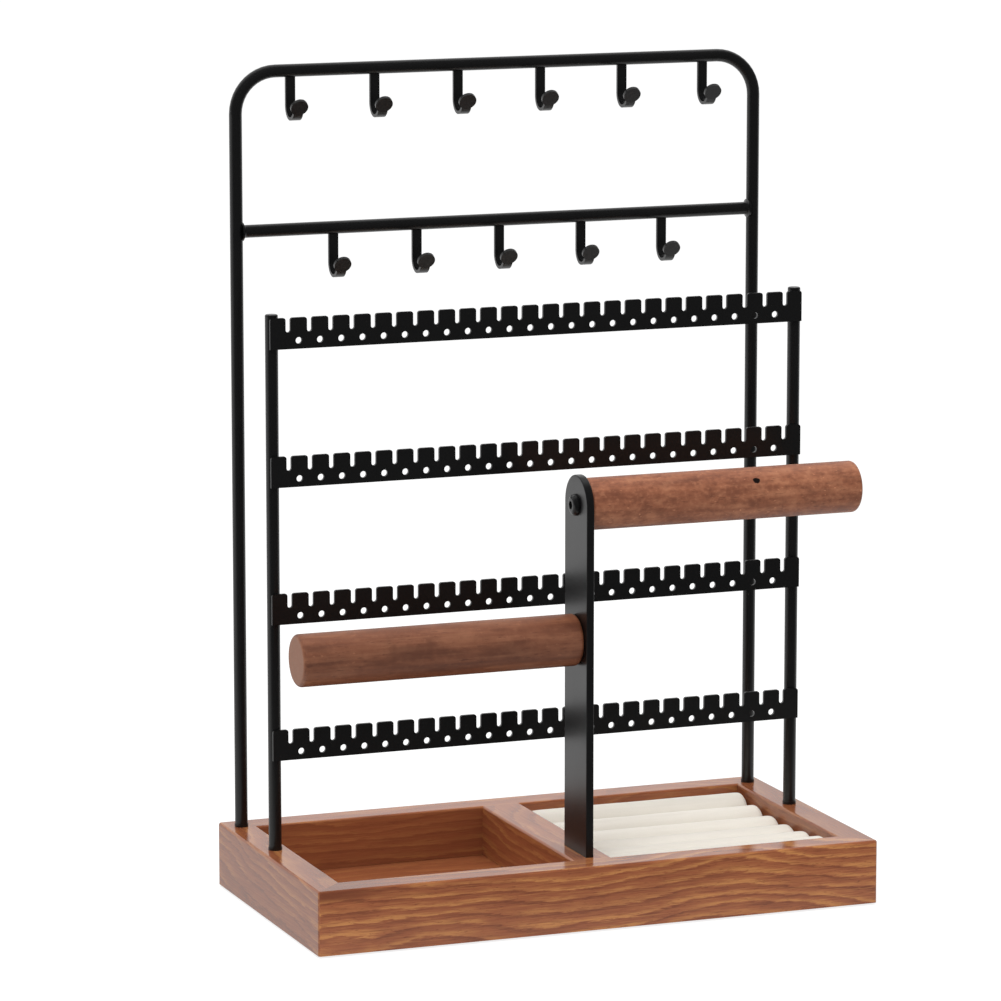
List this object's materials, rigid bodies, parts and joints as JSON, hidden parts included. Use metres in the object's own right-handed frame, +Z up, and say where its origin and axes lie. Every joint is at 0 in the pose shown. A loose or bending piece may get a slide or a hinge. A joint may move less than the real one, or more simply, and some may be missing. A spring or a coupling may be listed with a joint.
{
  "type": "jewelry stand",
  "caption": "Free-standing jewelry stand: wooden tray base, hooked rod frame for necklaces, notched earring rack, round wooden bracelet bars and a padded ring cushion.",
  "frame": {"origin": "on the surface that the stand rests on, under the middle of the base", "axes": "+X to the right along the base's long side, +Y to the back, +Z up"},
  "size_m": [0.3, 0.158, 0.4238],
  "materials": {
    "base_wood": "gloss",
    "bar_wood": "satin",
    "black_steel": "satin",
    "plain_steel": "satin",
    "brass": "satin",
    "pad_rubber": "matte",
    "board": "matte",
    "cream_fabric": "matte"
  },
  "bodies": {
    "stand": {"base_front_rail": "base_wood", "base_back_rail": "base_wood", "base_left_rail": "base_wood", "base_right_rail": "base_wood", "base_divider": "base_wood", "tray_floor_left": "base_wood", "tray_floor_right": "base_wood", "back_frame": "black_steel", "back_crossbar": "black_steel", "rack_post_left": "black_steel", "rack_post_right": "black_steel", "bracelet_post": "black_steel", "upper_hook_1": "black_steel", "upper_hook_2": "black_steel", "upper_hook_3": "black_steel", "upper_hook_4": "black_steel", "upper_hook_5": "black_steel", "upper_hook_6": "black_steel", "lower_hook_1": "black_steel", "lower_hook_2": "black_steel", "lower_hook_3": "black_steel", "lower_hook_4": "black_steel", "lower_hook_5": "black_steel", "earring_strip_1": "black_steel", "earring_strip_2": "black_steel", "earring_strip_3": "black_steel", "earring_strip_4": "black_steel", "leg_washers": "black_steel", "leg_screws": "plain_steel", "post_foot_screws": "plain_steel", "base_pads": "pad_rubber"},
    "upper_bar": {"bracelet_bar_upper": "bar_wood", "bar_screw_upper": "black_steel", "bar_insert_upper": "brass"},
    "lower_bar": {"bracelet_bar_lower": "bar_wood", "bar_screw_lower": "black_steel", "bar_insert_lower": "brass"},
    "ring_cushion": {"ring_cushion_board": "board", "ring_roll_1": "cream_fabric", "ring_roll_2": "cream_fabric", "ring_roll_3": "cream_fabric", "ring_roll_4": "cream_fabric", "ring_roll_5": "cream_fabric", "ring_roll_6": "cream_fabric"}
  },
  "joints": [
    {"name": "upper_bar_turn", "type": "hinge", "parent": "stand", "child": "upper_bar", "pos_m": [0.002, -0.0455, 0.2104], "axis": [1, 0, 0], "continuous": true},
    {"name": "lower_bar_turn", "type": "hinge", "parent": "stand", "child": "lower_bar", "pos_m": [-0.002, -0.0455, 0.1421], "axis": [1, 0, 0], "continuous": true},
    {"name": "ring_cushion_lift", "type": "slide", "parent": "stand", "child": "ring_cushion", "axis": [0, 0, 1], "range_m": [0, 0.04]}
  ]
}
